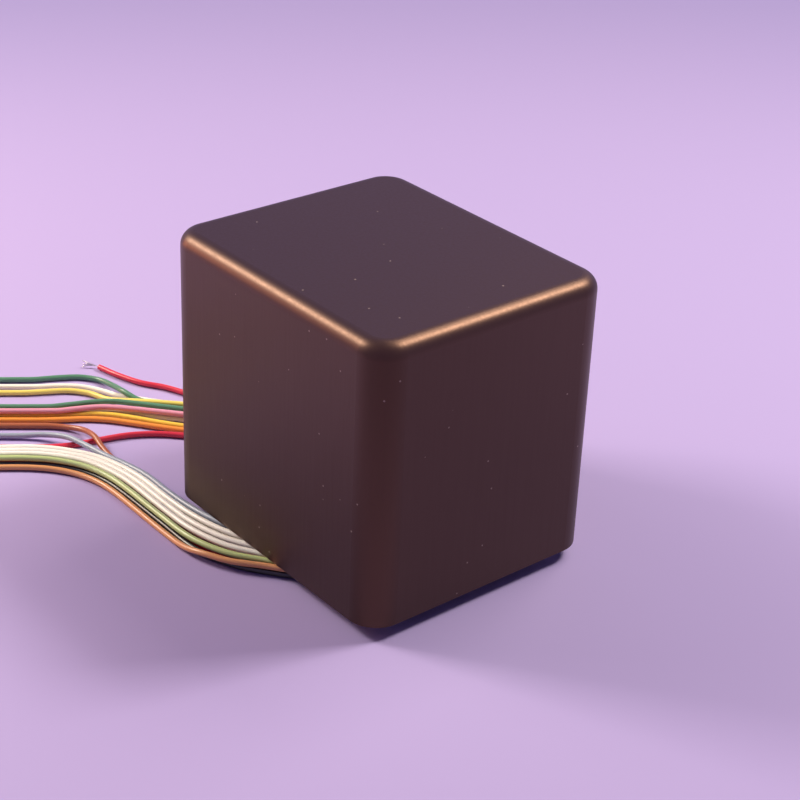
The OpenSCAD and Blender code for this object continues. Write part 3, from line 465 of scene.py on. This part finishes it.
def insulation(name, points):
    """A lead's tube, bent smoothly through its points."""
    data = bpy.data.curves.new(name, "CURVE")
    data.dimensions = "3D"
    data.bevel_depth = LEAD_D / 2
    data.bevel_resolution = 4
    data.resolution_u = 10
    data.use_fill_caps = True
    spline = data.splines.new("BEZIER")
    spline.bezier_points.add(len(points) - 1)
    steps = [(b - a).length for a, b in zip(points, points[1:])]
    last = len(points) - 1
    for i, knot in enumerate(spline.bezier_points):
        first, final = max(i - 1, 0), min(i + 1, last)
        along = (points[final] - points[first]) / sum(steps[first:final])
        knot.handle_left_type = knot.handle_right_type = "FREE"
        knot.co = points[i]
        knot.handle_left = points[i] - along * steps[max(i - 1, 0)] / 3
        knot.handle_right = points[i] + along * steps[min(i, last - 1)] / 3
    tube = bpy.data.objects.new(name, data)
    bpy.context.scene.collection.objects.link(tube)
    return tube


def into_scene(name, mesh, material):
    """Turns a finished bmesh to a smooth piece with its material."""
    data = bpy.data.meshes.new(name)
    mesh.to_mesh(data)
    mesh.free()
    data.materials.append(material)
    data.shade_smooth()
    piece = bpy.data.objects.new(name, data)
    bpy.context.scene.collection.objects.link(piece)
    return piece


def lay_strands(name, mesh, end, heading):
    """Closes the strands' ends and lays them along the lead's end."""
    bmesh.ops.holes_fill(mesh, edges=mesh.edges, sides=8)
    bmesh.ops.recalc_face_normals(mesh, faces=mesh.faces)
    lay = Matrix.Translation(end) @ heading.to_track_quat("Z", "Y").to_matrix().to_4x4()
    bmesh.ops.transform(mesh, matrix=lay, verts=mesh.verts)
    return into_scene(name, mesh, TIN)


def strand_section(mesh, place):
    """The round section of one strand at its place: its vertices and edges."""
    ring = bmesh.ops.create_circle(
        mesh, cap_ends=False, radius=STRAND_R, segments=8, matrix=Matrix.Translation(place)
    )["verts"]
    return ring + list(dict.fromkeys(edge for vert in ring for edge in vert.link_edges))


def curled_strands(name, end, heading):
    """Tinned strands that were pulled apart: each curls over to its own side."""
    mesh = bmesh.new()
    # Each strand: the side that it curls to in degrees, its curl in degrees, and its radius
    for side, curl, bend in (
        (5, 55, 0.005), (-4, 80, 0.0036), (12, 40, 0.0062), (32, 70, 0.0042), (-8, 60, 0.0046)
    ):
        turn = math.radians(side)
        toward = Vector((math.cos(turn), math.sin(turn), 0))
        section = strand_section(mesh, toward * STRAND_R - Vector((0, 0, STRIP_DEPTH)))
        bmesh.ops.spin(
            mesh, geom=section, cent=toward * bend, axis=Vector((0, 0, 1)).cross(toward),
            angle=math.radians(curl), steps=12, use_merge=False, use_duplicate=False,
        )
    return lay_strands(name, mesh, end, heading)


def bare_strands(name, end, heading):
    """Seven tinned strands twisted together, one in the middle and six around it."""
    mesh = bmesh.new()
    steps = 14
    twist = math.radians(200)
    for k in range(7):
        out = 0 if k == 0 else 2 * STRAND_R
        turn = math.radians(60 * k)
        place = Vector((out * math.cos(turn), out * math.sin(turn), -STRIP_DEPTH))
        bmesh.ops.spin(
            mesh, geom=strand_section(mesh, place), cent=(0, 0, 0), axis=(0, 0, 1), angle=twist,
            steps=steps, dvec=(0, 0, (STRIPPED_L + STRIP_DEPTH) / steps), use_merge=False,
            use_duplicate=False,
        )
    return lay_strands(name, mesh, end, heading)


# Camera, at the height and distance of someone who looks down at a bench
camera = bpy.data.objects.new("camera", bpy.data.cameras.new("camera"))
bpy.context.scene.collection.objects.link(camera)
camera.data.lens = LENS_MM
camera.data.sensor_width = 36
camera.data.clip_start = 0.01
back = Vector((
    math.sin(AZIMUTH) * math.cos(ELEVATION),
    -math.cos(AZIMUTH) * math.cos(ELEVATION),
    math.sin(ELEVATION),
))
level = Vector((math.cos(AZIMUTH), math.sin(AZIMUTH), 0))
above = back.cross(level)
right = math.cos(ROLL) * level + math.sin(ROLL) * above
up = math.cos(ROLL) * above - math.sin(ROLL) * level
camera.matrix_world = Matrix.Translation(AIM + DISTANCE * back) @ Matrix(
    (right, up, back)
).transposed().to_4x4()
bpy.context.scene.camera = camera

# Flying leads, with their bare ends
for name, (insulant, place, heading, drop, run) in LEADS.items():
    points = lead_points(place, heading, drop, run)
    short = name.removeprefix("lead_")
    tube = insulation("wire_" + short, points)
    tube.data.materials.append(PVC[insulant])
    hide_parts(name)
    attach(tube, "root")
    bare = curled_strands if short == "r_red_short" else bare_strands
    strands = bare("strands_" + short, points[-1], points[-1] - points[-2])
    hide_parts("tinned_ends")
    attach(strands, "root")

# Finishes of the solids
for name, material in SOLID_FINISHES.items():
    solid = nodes[name]
    solid.data.materials.clear()
    solid.data.materials.append(material)

# Floor, plain and pale
floor_mesh = bmesh.new()
bmesh.ops.create_grid(
    floor_mesh, x_segments=1, y_segments=1, size=4, matrix=Matrix.Translation((0, 0, -0.0001))
)
floor = into_scene("floor", floor_mesh, pale_paper_sweep())


def lamp(name, direction, distance, width, power, tint):
    """A soft, square lamp that looks at the middle of the can."""
    data = bpy.data.lights.new(name, "AREA")
    data.size = width
    data.energy = power
    data.color = colour(tint)[:3]
    light = bpy.data.objects.new(name, data)
    bpy.context.scene.collection.objects.link(light)
    toward = Vector(direction).normalized()
    turn = toward.to_track_quat("Z", "Y").to_matrix().to_4x4()
    light.matrix_world = Matrix.Translation(MIDDLE + distance * toward) @ turn


# A lamp at the left and one behind and above, each with a broad, soft card around it, and a weak,
# warm lamp low at the left
lamp("left_lamp", (-0.67, -0.45, 0.58), 0.62, 0.15, 2.4, "#fff4e0")
lamp("left_card", (-0.67, -0.42, 0.6), 0.62, 0.36, 1.0, "#fff0d4")
lamp("rear_lamp", (0.26, 0.57, 0.78), 0.7, 0.15, 3.3, "#fff4e0")
lamp("rear_card", (0.02, 0.57, 0.83), 0.7, 0.34, 2.2, "#fff0d4")
lamp("low_lamp", (-0.82, -0.54, 0.2), 0.34, 0.12, 0.23, "#ffb184")

world = bpy.data.worlds.new("studio")
bpy.context.scene.world = world
world.use_nodes = True
sky = world.node_tree
backdrop = sky.nodes["Background"]
backdrop.inputs["Color"].default_value = colour(BACKDROP)
# The backdrop is pale to the eye and in every reflection, and lights the rest more softly
strength = add(sky, "ShaderNodeMapRange", {
    "Value": seen_ray(sky), "To Min": BACKDROP_LIGHT, "To Max": BACKDROP_SEEN,
})
sky.links.new(strength.outputs["Result"], backdrop.inputs["Strength"])

bpy.context.scene.view_settings.view_transform = "Standard"
